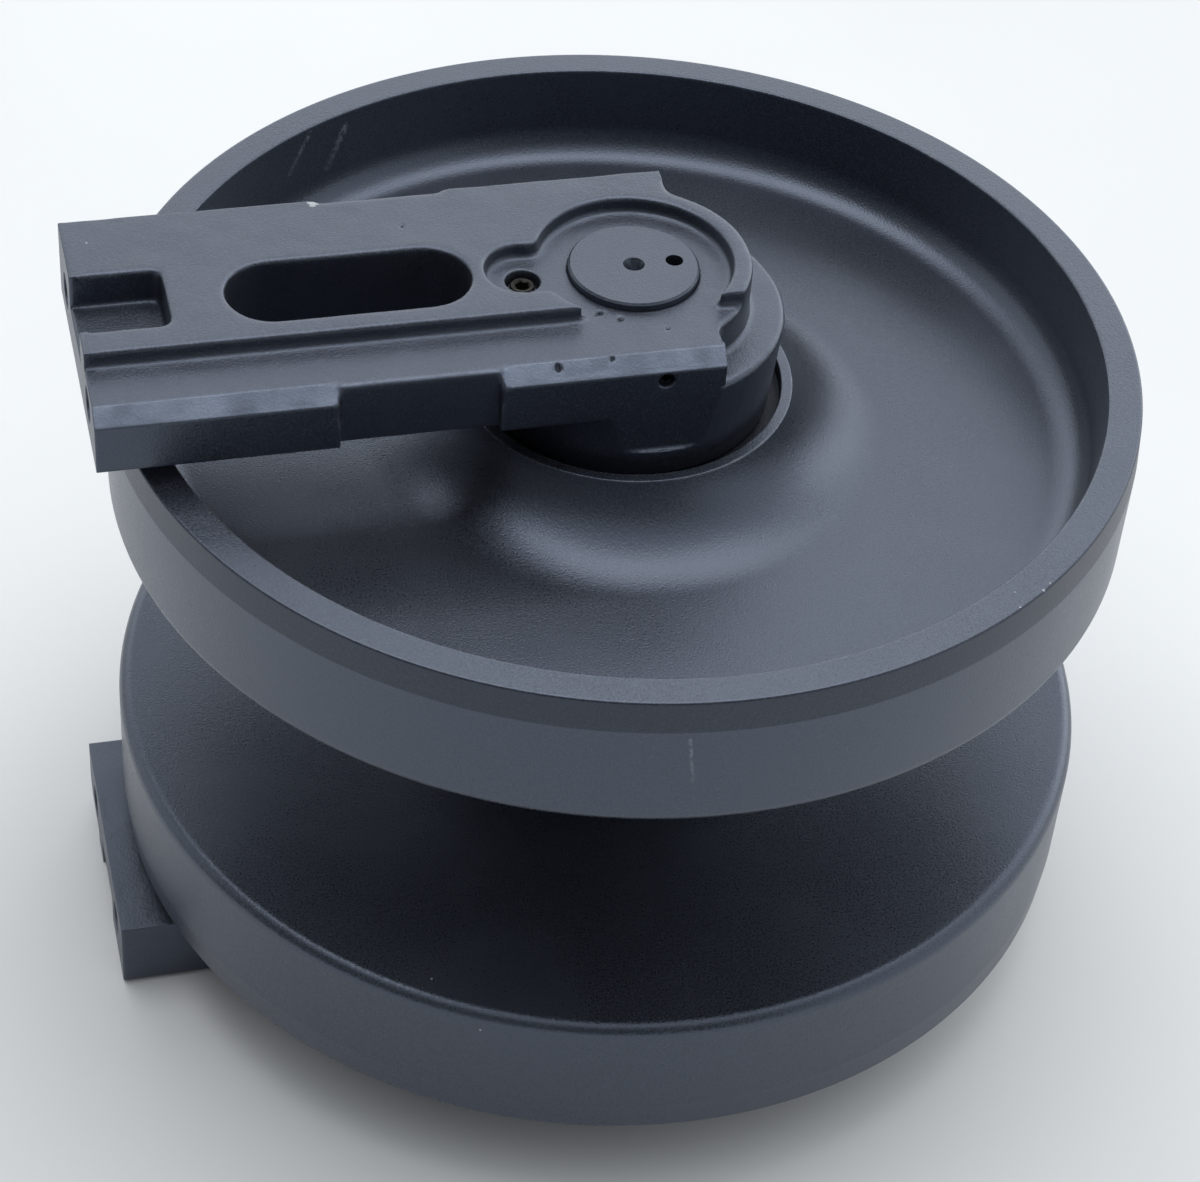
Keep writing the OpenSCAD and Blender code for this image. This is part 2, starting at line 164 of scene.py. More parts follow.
def plain_mesh(made):
    """The object's mesh with its modifiers worked in; the object itself goes."""
    graph = bpy.context.evaluated_depsgraph_get()
    mesh = bpy.data.meshes.new_from_object(made.evaluated_get(graph))
    bpy.data.objects.remove(made)
    return mesh


def face_outwards(mesh, join=1e-7):
    """Merges doubled points and turns all faces outwards."""
    shape = bmesh.new()
    shape.from_mesh(mesh)
    bmesh.ops.remove_doubles(shape, verts=shape.verts, dist=join)
    bmesh.ops.recalc_face_normals(shape, faces=shape.faces)
    shape.to_mesh(mesh)
    shape.free()


def shade_smooth(mesh):
    mesh.polygons.foreach_set("use_smooth", [True] * len(mesh.polygons))
    mesh.update()


def store(mesh, name, values):
    """Keeps one number for each point of the mesh."""
    kept = mesh.attributes.get(name) or mesh.attributes.new(name, "FLOAT", "POINT")
    kept.data.foreach_set("value", np.asarray(values, np.float32))


def points_of(mesh):
    flat = np.zeros(len(mesh.vertices) * 3, np.float32)
    mesh.vertices.foreach_get("co", flat)
    return flat.reshape(-1, 3).astype(float)


def set_points(mesh, points):
    mesh.vertices.foreach_set("co", np.asarray(points, np.float32).ravel())
    mesh.update()


def normals_of(mesh):
    flat = np.zeros(len(mesh.vertices) * 3, np.float32)
    mesh.vertex_normals.foreach_get("vector", flat)
    return flat.reshape(-1, 3).astype(float)


# Finishes

class Finish:
    """A material's node tree, with short calls for what the finishes share."""

    def __init__(self, name, roughness=0.5, metallic=0.0, shine=0.5, ior=1.5):
        self.material = bpy.data.materials.new(name)
        self.material.use_nodes = True
        self.tree = self.material.node_tree
        self.skin = self.tree.nodes["Principled BSDF"]
        self.skin.inputs["Roughness"].default_value = roughness
        self.skin.inputs["Metallic"].default_value = metallic
        self.skin.inputs["Specular IOR Level"].default_value = shine
        self.skin.inputs["IOR"].default_value = ior
        self.place = self.add("ShaderNodeTexCoord").outputs["Object"]

    def add(self, kind, inputs=None, **settings):
        return add_node(self.tree, kind, inputs, **settings)

    def calc(self, operation, first, second=0.0):
        return self.add("ShaderNodeMath", {0: first, 1: second}, operation=operation).outputs[0]

    def noise(self, size, detail=2.0, place=None):
        """Noise whose patches are about that size."""
        inputs = {"Vector": place or self.place, "Scale": 1 / size, "Detail": detail}
        return self.add("ShaderNodeTexNoise", inputs).outputs["Fac"]

    def rise(self, value, low, high, start=0.0, end=1.0):
        """Goes smoothly from start to end as the value goes from low to high."""
        inputs = {"Value": value, 1: low, 2: high, 3: start, 4: end}
        return self.add("ShaderNodeMapRange", inputs, interpolation_type="SMOOTHSTEP").outputs[0]

    def mix(self, share, first, second):
        inputs = {0: share, 6: first, 7: second}
        return self.add("ShaderNodeMix", inputs, data_type="RGBA").outputs[2]

    def stored(self, name):
        return self.add("ShaderNodeAttribute", attribute_name=name).outputs["Fac"]

    def upward(self):
        """How far the surface faces up, from 0 to 1."""
        normal = self.add("ShaderNodeNewGeometry").outputs["Normal"]
        up = self.add("ShaderNodeSeparateXYZ", {0: normal}).outputs["Z"]
        return self.rise(up, 0.35, 0.95)

    def specks(self, spacing, size, share):
        """Small dots, in that share of cells that far apart."""
        cells = self.add("ShaderNodeTexVoronoi", {"Vector": self.place, "Scale": 1 / spacing})
        dot = self.rise(cells.outputs["Distance"], size / spacing, 0.5 * size / spacing)
        chance = self.add("ShaderNodeSeparateColor", {0: cells.outputs["Color"]}).outputs[0]
        return self.calc("MULTIPLY", dot, self.calc("LESS_THAN", chance, share))

    def spot(self, centre, size, rough):
        """A patch around a point, made ragged by a noise."""
        away = self.add("ShaderNodeVectorMath", {0: self.place, 1: centre}, operation="DISTANCE")
        reach = self.calc("ADD", away.outputs["Value"], self.calc("MULTIPLY", rough, size))
        return self.rise(reach, 1.1 * size, 0.9 * size)

    def scratch(self, start, end, width):
        """A fading line from one point to another."""
        way = Vector(end) - Vector(start)
        offset = self.add("ShaderNodeVectorMath", {0: self.place, 1: start}, operation="SUBTRACT").outputs[0]
        along = self.add("ShaderNodeVectorMath", {0: offset, 1: way / way.length_squared},
                         operation="DOT_PRODUCT").outputs["Value"]
        share = self.add("ShaderNodeClamp", {0: along}).outputs[0]
        foot = self.add("ShaderNodeVectorMath", {0: way, 3: share}, operation="SCALE").outputs[0]
        away = self.add("ShaderNodeVectorMath", {0: offset, 1: foot}, operation="DISTANCE").outputs["Value"]
        line = self.rise(away, width, 0.3 * width)
        broken = self.rise(self.noise(2 * MM, 3.0), 0.35, 0.6)
        fading = self.rise(along, 1.0, 0.0, 0.3, 1.0)
        return self.calc("MULTIPLY", self.calc("MULTIPLY", line, broken), fading)

    def bump(self, height, depth, under=None):
        inputs = {"Height": height, "Distance": depth, "Strength": 1.0}
        if under:
            inputs["Normal"] = under
        return self.add("ShaderNodeBump", inputs).outputs["Normal"]

    def connect(self, **sockets):
        for name, value in sockets.items():
            self.tree.links.new(value, self.skin.inputs[name.replace("_", " ")])
        return self.material


def rgb(red, green, blue):
    return (red, green, blue, 1.0)


PAINT_DARK = rgb(0.014, 0.016, 0.022)
PAINT_LIGHT = rgb(0.021, 0.024, 0.032)
PAINT_GRIT = rgb(0.042, 0.048, 0.060)
# Pale blue painted sheen, a highlight painted on faces turned up towards the front
PAINT_SHEEN = rgb(0.220, 0.258, 0.335)
PAINT_DUST = rgb(0.10, 0.11, 0.125)
PAINT_RUB = rgb(0.20, 0.22, 0.24)
PAINT_CHIP = rgb(0.33, 0.34, 0.35)
# Near-black for the paint's dark grain and for painted shade in hollows and pits
PAINT_DARK_GRAIN_AND_SHADE = rgb(0.008, 0.009, 0.012)
PAINT_TINT = rgb(0.67, 0.77, 1.0)
PAINT_IOR = 1.58
# Sizes of the paint's blotches, grain, dust patches, patches of the painted sheen, worn patches and chips'
# ragged edges
BLOTCH_SIZE = 90 * MM
SPECKLE_SIZE = 0.8 * MM
SPECKLE_DEPTH = 0.12 * MM
DUST_SIZE = 34 * MM
SHEEN_PATCH_SIZE = 16 * MM
WORN_SIZE = 9 * MM
RAGGED_SIZE = 1.3 * MM
# How strongly grain, the painted shade in hollows and scratches colour the paint
SPECKLE_SHARE = 0.8
HOLLOW_SHADE_SHARE = 0.8
SCRATCH_SHARE = 0.8
# Light bits strewn over the paint: their spacing, size, the share of places with one, and strength
BITS = (14 * MM, 0.28 * MM, 0.14)
BITS_SHARE = 0.7
# How much the blotches and the grain change the roughness
BLOTCH_GLOSS = 0.02
SPECKLE_GLOSS = 0.07


def satin_paint(name, shine, gloss, grain, grain_depth, chips=(), scratches=(), wear=0.0):
    """Satin blue-black paint: faint blotches, fine grain, dust, worn edges, chips and scratches, with
    painted shade in hollows and a painted sheen where the piece stores one.
    """
    f = Finish(name, shine=shine, ior=PAINT_IOR)
    f.skin.inputs["Specular Tint"].default_value = PAINT_TINT
    blotch = f.rise(f.noise(BLOTCH_SIZE, 3.0), 0.30, 0.70)
    speckle = f.noise(SPECKLE_SIZE, 2.0)
    colour = f.mix(blotch, PAINT_DARK, PAINT_LIGHT)
    colour = f.mix(f.rise(speckle, 0.52, 0.30, 0.0, SPECKLE_SHARE), colour, PAINT_DARK_GRAIN_AND_SHADE)
    colour = f.mix(f.rise(speckle, 0.52, 0.74, 0.0, SPECKLE_SHARE), colour, PAINT_GRIT)
    dusty = f.rise(f.noise(DUST_SIZE, 5.0), 0.40, 0.85, 0.01, 0.10)
    colour = f.mix(f.calc("MULTIPLY", f.upward(), dusty), colour, PAINT_DUST)
    # Painted sheen: where the piece stores it, the paint is mixed towards a pale blue, as a highlight
    sheen_patches = f.rise(f.noise(SHEEN_PATCH_SIZE, 4.0), 0.30, 0.65, 0.55, 0.95)
    colour = f.mix(f.calc("MULTIPLY", f.stored("front_sheen"), sheen_patches), colour, PAINT_SHEEN)
    worn = f.rise(f.noise(WORN_SIZE, 5.0), 0.50, 0.70, 0.04, wear)
    colour = f.mix(f.calc("MULTIPLY", f.stored("edge"), worn), colour, PAINT_RUB)
    # Painted shade: hollows and pits are mixed towards near-black
    colour = f.mix(f.calc("MULTIPLY", f.stored("hollow"), HOLLOW_SHADE_SHARE), colour, PAINT_DARK_GRAIN_AND_SHADE)
    colour = f.mix(f.calc("MULTIPLY", f.specks(*BITS), BITS_SHARE), colour, PAINT_CHIP)
    for start, end, width in scratches:
        line = f.calc("MULTIPLY", f.scratch(start, end, width), SCRATCH_SHARE)
        colour = f.mix(line, colour, PAINT_RUB)
    ragged = f.noise(RAGGED_SIZE, 3.0)
    for centre, size in chips:
        colour = f.mix(f.spot(centre, size, ragged), colour, PAINT_CHIP)
    roughness = f.rise(blotch, 0.0, 1.0, gloss - BLOTCH_GLOSS, gloss + BLOTCH_GLOSS)
    roughness = f.calc("ADD", roughness, f.rise(speckle, 0.2, 0.8, -SPECKLE_GLOSS, SPECKLE_GLOSS))
    skin = f.bump(speckle, SPECKLE_DEPTH)
    skin = f.bump(f.noise(grain, 4.0), grain_depth, skin)
    return f.connect(Base_Color=colour, Roughness=roughness, Normal=skin)


def turned_metal(name, dark, light, roughness, rings, depth):
    """Bare turned metal, with fine rings around the axle and patches of oil."""
    f = Finish(name, roughness, 1.0)
    across = f.add("ShaderNodeVectorMath", {0: f.place, 1: (1.0, 1.0, 0.0)}, operation="MULTIPLY")
    radius = f.add("ShaderNodeVectorMath", {0: across.outputs[0]}, operation="LENGTH").outputs["Value"]
    height = f.add("ShaderNodeSeparateXYZ", {0: f.place}).outputs["Z"]
    lathe = f.add("ShaderNodeCombineXYZ", {0: radius, 1: height, 2: 0.0}).outputs[0]
    cut = f.noise(rings, 2.0, lathe)
    oil = f.rise(f.noise(9 * MM, 4.0), 0.35, 0.70)
    colour = f.mix(oil, dark, light)
    gloss = f.rise(cut, 0.25, 0.75, roughness - 0.08, roughness + 0.10)
    return f.connect(Base_Color=colour, Roughness=gloss, Normal=f.bump(cut, depth))


def ring_rubber(name):
    """Black rubber with a dull bloom and a faint moulded grain."""
    f = Finish(name, 0.6)
    bloom = f.rise(f.noise(5 * MM, 5.0), 0.35, 0.75)
    colour = f.mix(bloom, rgb(0.012, 0.012, 0.013), rgb(0.035, 0.035, 0.036))
    gloss = f.rise(bloom, 0.0, 1.0, 0.5, 0.7)
    return f.connect(Base_Color=colour, Roughness=gloss, Normal=f.bump(f.noise(0.4 * MM), 0.02 * MM))


def black_steel(name, dark, light, gloss_low):
    """Blackened steel with paler patches, shinier where oil has spread."""
    f = Finish(name, 0.5, 0.4, 0.3)
    patch = f.rise(f.noise(1.6 * MM, 4.0), 0.38, 0.66)
    colour = f.mix(patch, dark, light)
    gloss = f.rise(f.noise(2.2 * MM, 3.0), 0.3, 0.7, gloss_low, 0.62)
    return f.connect(Base_Color=colour, Roughness=gloss, Normal=f.bump(f.noise(0.35 * MM), 0.015 * MM))


# Wheel

def wheel_corners():
    """Upper half of the wheel's section, from the groove's floor round to the oil space.

    Each corner has a radius, a height, a rounding, the points of its arc and its share of wear.
    """
    dish_r = TREAD_R - RIM_T
    slope = DISH_DRAFT / (HALF_W - DISH_Z - DISH_FILLET)
    foot_r = dish_r - slope * (HALF_W - DISH_Z)
    flare_x = HUB_R + math.sqrt(FLARE_R ** 2 - (DISH_Z + FLARE_R - HUB_Z) ** 2)
    turn = math.acos((HUB_Z - DISH_Z - FLARE_R) / -FLARE_R)
    flare_in = FLARE_R * math.tan(turn / 2)
    flare_round = (flare_in - 1.5 * HUB_EDGE) / math.tan(turn / 2)
    return [
        (GROOVE_ROOT_R, GROOVE_HALF, GROOVE_ROOT_FILLET, 12, 0),
        (TREAD_R, GROOVE_HALF, GROOVE_EDGE, 10, 0),
        (TREAD_R, HALF_W - BAND_W, BAND_SOFTNESS, 3, 0),
        (TREAD_R - BAND_DROP, HALF_W, RIM_EDGE, 6, 0),
        (dish_r, HALF_W, RIM_EDGE, 6, 0.5),
        (foot_r, DISH_Z, DISH_FILLET, 14, 0),
        (flare_x - flare_in, DISH_Z, flare_round, 22, 0),
        (HUB_R, HUB_Z, HUB_EDGE, 5, 1),
        (COUNTER_R, HUB_Z, HUB_EDGE, 5, 1),
        (COUNTER_R, COUNTER_Z, HUB_EDGE, 3, 0),
        (SEAL_R, COUNTER_Z, HUB_EDGE, 3, 0),
        (SEAL_R, SEAL_Z, HUB_EDGE, 3, 0),
        (BUSH_R, SEAL_Z, HUB_EDGE, 3, 0),
        (BUSH_R, BUSH_Z, HUB_EDGE, 2, 0),
        (OIL_R, BUSH_Z, HUB_EDGE, 2, 0),
    ]


def with_guards(corners, guard):
    """Adds two points on each straight that has room for them, so that the flats shade flat."""
    count = len(corners)
    spots = [Vector(corner[:2]) for corner in corners]
    reach = []
    for i, here in enumerate(spots):
        opening = (spots[i - 1] - here).angle(spots[(i + 1) % count] - here)
        reach.append(corners[i][2] * math.tan((math.pi - opening) / 2) + guard)
    made = []
    for i, here in enumerate(spots):
        j = (i + 1) % count
        way = spots[j] - here
        made.append(corners[i])
        if reach[i] + reach[j] < 0.9 * way.length:
            for side in (here + way.normalized() * reach[i], spots[j] - way.normalized() * reach[j]):
                made.append((side.x, side.y, 0.0, 1, 0.0))
    return made


def section_mesh(corners):
    """A closed loop of edges through the corners, which keep their rounding and wear."""
    mesh = bpy.data.meshes.new("section")
    count = len(corners)
    edges = [(i, (i + 1) % count) for i in range(count)]
    mesh.from_pydata([(r, 0.0, z) for r, z, *_ in corners], edges, [])
    store(mesh, "rounding", [c[2] for c in corners])
    store(mesh, "arc_points", [c[3] for c in corners])
    store(mesh, "edge", [c[4] for c in corners])
    return mesh


def lathe_tree():
    """Rounds the corners of a section and turns it about the axle."""
    tree = bpy.data.node_groups.new("lathe", "GeometryNodeTree")
    for name, kind in (("Geometry", "Geometry"), ("Sides", "Int"), ("Path radius", "Float"),
                       ("Finish", "Material")):
        tree.interface.new_socket(name, in_out="INPUT", socket_type="NodeSocket" + kind)
    tree.interface.new_socket("Geometry", in_out="OUTPUT", socket_type="NodeSocketGeometry")
    start = add_node(tree, "NodeGroupInput").outputs
    line = add_node(tree, "GeometryNodeMeshToCurve", {"Mesh": start["Geometry"]})
    rounding = add_node(tree, "GeometryNodeInputNamedAttribute", {"Name": "rounding"}, data_type="FLOAT")
    number = add_node(tree, "GeometryNodeInputNamedAttribute", {"Name": "arc_points"}, data_type="FLOAT")
    rounded = add_node(tree, "GeometryNodeFilletCurve", {
        "Curve": line.outputs[0], "Radius": rounding.outputs[0], "Count": number.outputs[0]}, mode="POLY")
    inwards = add_node(tree, "ShaderNodeMath", {0: 0.0, 1: start["Path radius"]}, operation="SUBTRACT")
    shift = add_node(tree, "ShaderNodeCombineXYZ", {0: inwards.outputs[0]})
    laid = add_node(tree, "GeometryNodeTransform", {
        "Geometry": rounded.outputs[0], "Translation": shift.outputs[0],
        "Rotation": (math.pi / 2, 0.0, 0.0)})
    path = add_node(tree, "GeometryNodeCurvePrimitiveCircle", {
        "Resolution": start["Sides"], "Radius": start["Path radius"]}, mode="RADIUS")
    swept = add_node(tree, "GeometryNodeCurveToMesh", {
        "Curve": path.outputs[0], "Profile Curve": laid.outputs[0]})
    smooth = add_node(tree, "GeometryNodeSetShadeSmooth", {"Geometry": swept.outputs[0]})
    whole = add_node(tree, "GeometryNodeRealizeInstances", {"Geometry": smooth.outputs[0]})
    dressed = add_node(tree, "GeometryNodeSetMaterial", {
        "Geometry": whole.outputs[0], "Material": start["Finish"]})
    add_node(tree, "NodeGroupOutput", {"Geometry": dressed.outputs[0]})
    return tree


def set_inputs(modifier, **values):
    """Sets a modifier's inputs, which are found by their names in its tree."""
    for item in modifier.node_group.interface.items_tree:
        key = item.name.lower().replace(" ", "_")
        if item.in_out == "INPUT" and key in values:
            modifier[item.identifier] = values[key]


def turned(name, corners, tree, finish, sides):
    """A piece turned about the axle from the corners of its section."""
    blank = new_object("blank", section_mesh(corners))
    lathe = blank.modifiers.new("lathe", "NODES")
    lathe.node_group = tree
    set_inputs(lathe, sides=sides, path_radius=LATHE_PATH_R, finish=finish)
    mesh = plain_mesh(blank)
    face_outwards(mesh)
    shade_smooth(mesh)
    return new_object(name, mesh)


def idler_wheel(finish, band_finish, hollow_shade_finish):
    """The turned wheel, with a duller finish on its upper band and a dull dark one inside its hub, both as
    painted shade.
    """
    upper = wheel_corners()
    lower = [(r, -z, *rest) for r, z, *rest in reversed(upper)]
    corners = with_guards(upper + lower, GUARD)
    wheel = turned("wheel_turned", corners, lathe_tree(), finish, WHEEL_SIDES)
    wheel.data.materials.append(band_finish)
    wheel.data.materials.append(hollow_shade_finish)
    for face in wheel.data.polygons:
        x, y, z = face.center
        # Painted shade: the faces of the upper band get the duller finish
        if math.hypot(x, y) > TREAD_R - BAND_DROP - RIM_EDGE / 2 and z > HALF_W - BAND_W:
            face.material_index = 1
        # Painted shade: faces inside the hub get the dull dark finish
        elif math.hypot(x, y) < COUNTER_R + HUB_EDGE / 4 and abs(z) < HUB_Z - HUB_EDGE / 2:
            face.material_index = 2
    return wheel


# Brackets

# Pits left in the casting: their place seen from above, width and depth
PITS = [
    ((-18.6 * MM, -23.6 * MM), 1.4 * MM, 1.4 * MM),
    ((-11.9 * MM, -28.3 * MM), 1.3 * MM, 1.2 * MM),
    ((4.2 * MM, -36.1 * MM), 1.0 * MM, 1.0 * MM),
    ((-40.7 * MM, -50.6 * MM), 1.4 * MM, 0.9 * MM),
    ((-20.3 * MM, -49.6 * MM), 1.0 * MM, 0.7 * MM),
    ((-82.9 * MM, 32.0 * MM), 1.1 * MM, 0.5 * MM),
]
# Ends of the recess between the pads along the arm, on its near side and on its far side
RECESS = {-1: (-124 * MM, -59 * MM), 1: (-115 * MM, -61 * MM)}


def wavy(points):
    """Slow unevenness of a cast skin at each point, from -1 to 1."""
    return np.array([noise.fractal(Vector(p) / CAST_WAVE_LEN, 0.9, 2.1, 3) for p in points])


def pit_depth(points):
    """How deep the casting is pitted at each point of its upper side."""
    x, y, z = points.T
    depth = np.zeros(len(points))
    for (pit_x, pit_y), width, deep in PITS:
        away = np.hypot(x - pit_x, y - pit_y) / width
        depth = np.maximum(depth, deep * np.clip(1 - away ** 4, 0, None))
    return depth * (z > LOW_Z - PIT_REACH)


def depth_inside(points, solid):
    """How far each point lies inside (+) or outside (-) the sharp solid."""
    tree = BVHTree.FromPolygons([v.co for v in solid.vertices], [p.vertices for p in solid.polygons])
    depth = np.zeros(len(points))
    for i, p in enumerate(points):
        at, normal, _, _ = tree.find_nearest(Vector(p))
        depth[i] = (at - Vector(p)).dot(normal)
    return depth


def smoothed(mesh, passes, weights=None):
    """The mesh after some passes of smoothing, over all of it or by the weight of each point."""
    made = new_object("smoothed", mesh)
    soft = made.modifiers.new("soft", "SMOOTH")
    soft.factor = 0.5
    soft.iterations = passes
    if weights is not None:
        group = made.vertex_groups.new(name="soft")
        for i in np.flatnonzero(weights):
            group.add([int(i)], 1.0, "REPLACE")
        soft.vertex_group = "soft"
    return plain_mesh(made)


def thinned(mesh, most):
    """The mesh with fewer triangles on its flats, so that it holds that many at most."""
    made = new_object("thinned", mesh)
    count = sum(len(face.vertices) - 2 for face in mesh.polygons)
    thin = made.modifiers.new("thin", "DECIMATE")
    thin.ratio = min(1.0, most / count)
    return plain_mesh(made)


def cast_skin(solid):
    """The solid remade as an even skin with soft cast edges and crisper machined ones."""
    block = new_object("block", solid.copy())
    grid = block.modifiers.new("grid", "REMESH")
    grid.mode = "VOXEL"
    grid.voxel_size = CAST_GRID
    mesh = smoothed(plain_mesh(block), EDGE_PASSES)
    x, y, z = points_of(mesh).T
    padded = np.abs(y) > PAD_Y - CRISP_PAD
    for side, (start, end) in RECESS.items():
        padded &= ~((y * side > 0) & (x > start) & (x < end))
    machined = padded | (x < ARM_END + CRISP_END) | (z < SHOULDER_Z)
    machined |= np.hypot(x, y) < AXLE_R + CRISP_AXLE
    machined |= np.hypot(x - PLUG_X, y) < PLUG_BORE_R + CRISP_PLUG
    return smoothed(mesh, CAST_PASSES, ~machined)


def cast_bracket(node):
    """The bracket's solid with rounded edges, an uneven cast skin and a few pits."""
    solid = NODES[node].data.copy()
    face_outwards(solid, 1e-6)
    mesh = cast_skin(solid)
    points = points_of(mesh)
    x, y, _ = points.T
    even = (np.abs(y) > PAD_Y - EVEN_EDGE) | (x < ARM_END + EVEN_EDGE)
    even |= np.hypot(x, y) < AXLE_R + EVEN_EDGE
    points += normals_of(mesh) * (np.where(even, 0.0, CAST_WAVE) * wavy(points))[:, None]
    points[:, 2] -= pit_depth(points)
    set_points(mesh, points)
    mesh = thinned(mesh, CAST_TRIANGLES)
    store_wear_and_painted_light(mesh, depth_inside(points_of(mesh), solid))
    shade_smooth(mesh)
    return mesh


def store_wear_and_painted_light(mesh, depth):
    """Keeps how far each point of a casting is worn or pitted, and where it gets a painted sheen or painted
    shade.
    """
    points = points_of(mesh)
    x, y, z = points.T
    pitted = np.clip(pit_depth(points) / PITTED_FULL, 0, 1)
    plug_rim = np.abs(np.hypot(x - PLUG_X, y) - PLUG_BORE_R) < WORN_RIM_W
    worn = np.clip((depth - SKIN_EVEN) / WORN_FULL, 0, 1)
    worn = np.where(plug_rim & (z > LOW_Z - RIM_REACH), 1.0, worn)
    beside_pin = np.hypot(x - PIN_X, z - PIN_Z) < UNWORN_PIN_R
    # Painted sheen: faces of the near pads turned up towards the front are marked for a paler, bluer colour
    facing = normals_of(mesh) @ np.array([0.0, -math.sqrt(0.5), math.sqrt(0.5)])
    on_pad = (y < SHEEN_W - PAD_Y) & (z > LOW_Z - SHEEN_REACH)
    # Painted shade: points outside the sharp solid, in inside corners, and the pits are marked for a darker
    # colour
    hollow = np.clip((-depth - SKIN_EVEN) / HOLLOW_SHADE_FULL, 0, 1)
    store(mesh, "edge", worn * (1 - pitted) * ~beside_pin)
    store(mesh, "pit", pitted)
    store(mesh, "front_sheen", np.clip((facing - SHEEN_FACING) / SHEEN_FACING_RANGE, 0, 1) * on_pad)
    store(mesh, "hollow", np.maximum(pitted, hollow))


PIT_FACE = 0.4


def darken_pits(piece, finish):
    """Gives the faces inside the casting's pits a dull dark finish, as painted shade."""
    mesh = piece.data
    pit = np.zeros(len(mesh.vertices), np.float32)
    mesh.attributes["pit"].data.foreach_get("value", pit)
    mesh.materials.append(finish)
    for face in mesh.polygons:
        face.material_index = int(min(pit[i] for i in face.vertices) > PIT_FACE)
    return piece


def turned_over(mesh):
    """The same mesh at the other end of the axle, half a turn about X."""
    copy = mesh.copy()
    copy.transform(Matrix.Rotation(math.pi, 4, "X"))
    return copy


# Oil plugs and lock pins

def skinned(name, rings):
    """A closed piece over rings of points, one after another, with a middle point at each end."""
    shape = bmesh.new()
    rows = [[shape.verts.new(p) for p in ring] for ring in rings]
    count = len(rows[0])
    for low, high in zip(rows, rows[1:]):
        for i in range(count):
            j = (i + 1) % count
            shape.faces.new((low[i], low[j], high[j], high[i]))
    for row in (rows[0], rows[-1]):
        middle = shape.verts.new(sum((v.co for v in row), Vector()) / count)
        for i in range(count):
            shape.faces.new((row[i], row[(i + 1) % count], middle))
    bmesh.ops.recalc_face_normals(shape, faces=shape.faces)
    mesh = bpy.data.meshes.new(name)
    shape.to_mesh(mesh)
    shape.free()
    return mesh


PLUG_SIDES = 48
PLUG_FLATS = 5 * MM
PLUG_SOCKET_DEPTH = 5 * MM
PLUG_PITCH = 0.9 * MM
PLUG_THREAD = 0.3 * MM
PLUG_CHAMFER = 0.5 * MM


def hex_radius(angle):
    """Distance from the middle of a hexagon socket to its wall."""
    return PLUG_FLATS / 2 / math.cos((angle + math.pi / 6) % (math.pi / 3) - math.pi / 6)


def oil_plug():
    """Socket plug with a taper thread on its flank and a chamfered top."""
    low, high = PLUG_LOW, PLUG_HIGH
    y = (low.y + high.y) / 2
    radius = (high.x - low.x) / 2
    rings = [(radius - PLUG_THREAD, low.z)]
    turns = int((high.z - low.z - PLUG_CHAMFER) / PLUG_PITCH)
    for i in range(turns):
        z = low.z + (i + 0.5) * PLUG_PITCH
        rings += [(radius - PLUG_THREAD, z - PLUG_PITCH / 4), (radius, z)]
    mouth = PLUG_FLATS / math.sqrt(3)
    rings += [(radius - PLUG_THREAD, high.z - PLUG_CHAMFER), (radius - 2 * PLUG_THREAD, high.z)]
    rings += [(mouth + PLUG_THREAD, high.z), (None, high.z - PLUG_CHAMFER)]
    rings += [(None, high.z - PLUG_SOCKET_DEPTH)]
    made = []
    for r, z in rings:
        ring = []
        for i in range(PLUG_SIDES):
            angle = 2 * math.pi * i / PLUG_SIDES
            reach = hex_radius(angle) if r is None else r
            ring.append((PLUG_X + reach * math.cos(angle), y + reach * math.sin(angle), z))
        made.append(ring)
    return skinned("oil_plug", made)


PIN_POINTS = 28
PIN_SLOT = math.radians(16)
PIN_WALL = 1.5 * MM
PIN_CHAMFER = 0.8 * MM


def lock_pin():
    """Rolled spring pin: a split tube with tapered ends."""
    start, end = PIN_LOW.y, PIN_HIGH.y
    radius = (PIN_HIGH.x - PIN_LOW.x) / 2
    stations = [(start, radius - PIN_CHAMFER / 2), (start + PIN_CHAMFER, radius),
                (end - PIN_CHAMFER, radius), (end, radius - PIN_CHAMFER / 2)]
    shape = bmesh.new()
    rows = []
    for y, outer in stations:
        row = []
        for r, way in ((outer, 1), (radius - PIN_WALL, -1)):
            for i in range(PIN_POINTS + 1)[::way]:
                angle = PIN_SLOT + (2 * math.pi - 2 * PIN_SLOT) * i / PIN_POINTS
                at = (PIN_X + r * math.cos(angle), y, PIN_Z + r * math.sin(angle))
                row.append(shape.verts.new(at))
        rows.append(row)
    count = len(rows[0])
    for near, far in zip(rows, rows[1:]):
        for i in range(count):
            j = (i + 1) % count
            shape.faces.new((near[i], near[j], far[j], far[i]))
    for row in (rows[0], rows[-1]):
        for i in range(PIN_POINTS):
            shape.faces.new((row[i], row[i + 1], row[count - 2 - i], row[count - 1 - i]))
    bmesh.ops.recalc_face_normals(shape, faces=shape.faces)
    mesh = bpy.data.meshes.new("lock_pin")
    shape.to_mesh(mesh)
    shape.free()
    return mesh


# Putting the pieces in place

def painted(name, mesh, finish):
    mesh.materials.clear()
    mesh.materials.append(finish)
    return new_object(name, mesh)


def place(piece, body, node, slot):
    """Sets a piece in the frame in place of a node."""
    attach(piece, body)
    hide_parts(node)


def repaint(node, finish):
    """Gives a node of the frame a better finish."""
    piece = NODES[node]
    if not piece.material_slots:
        piece.data.materials.append(finish)
    for slot in piece.material_slots:
        slot.material = finish


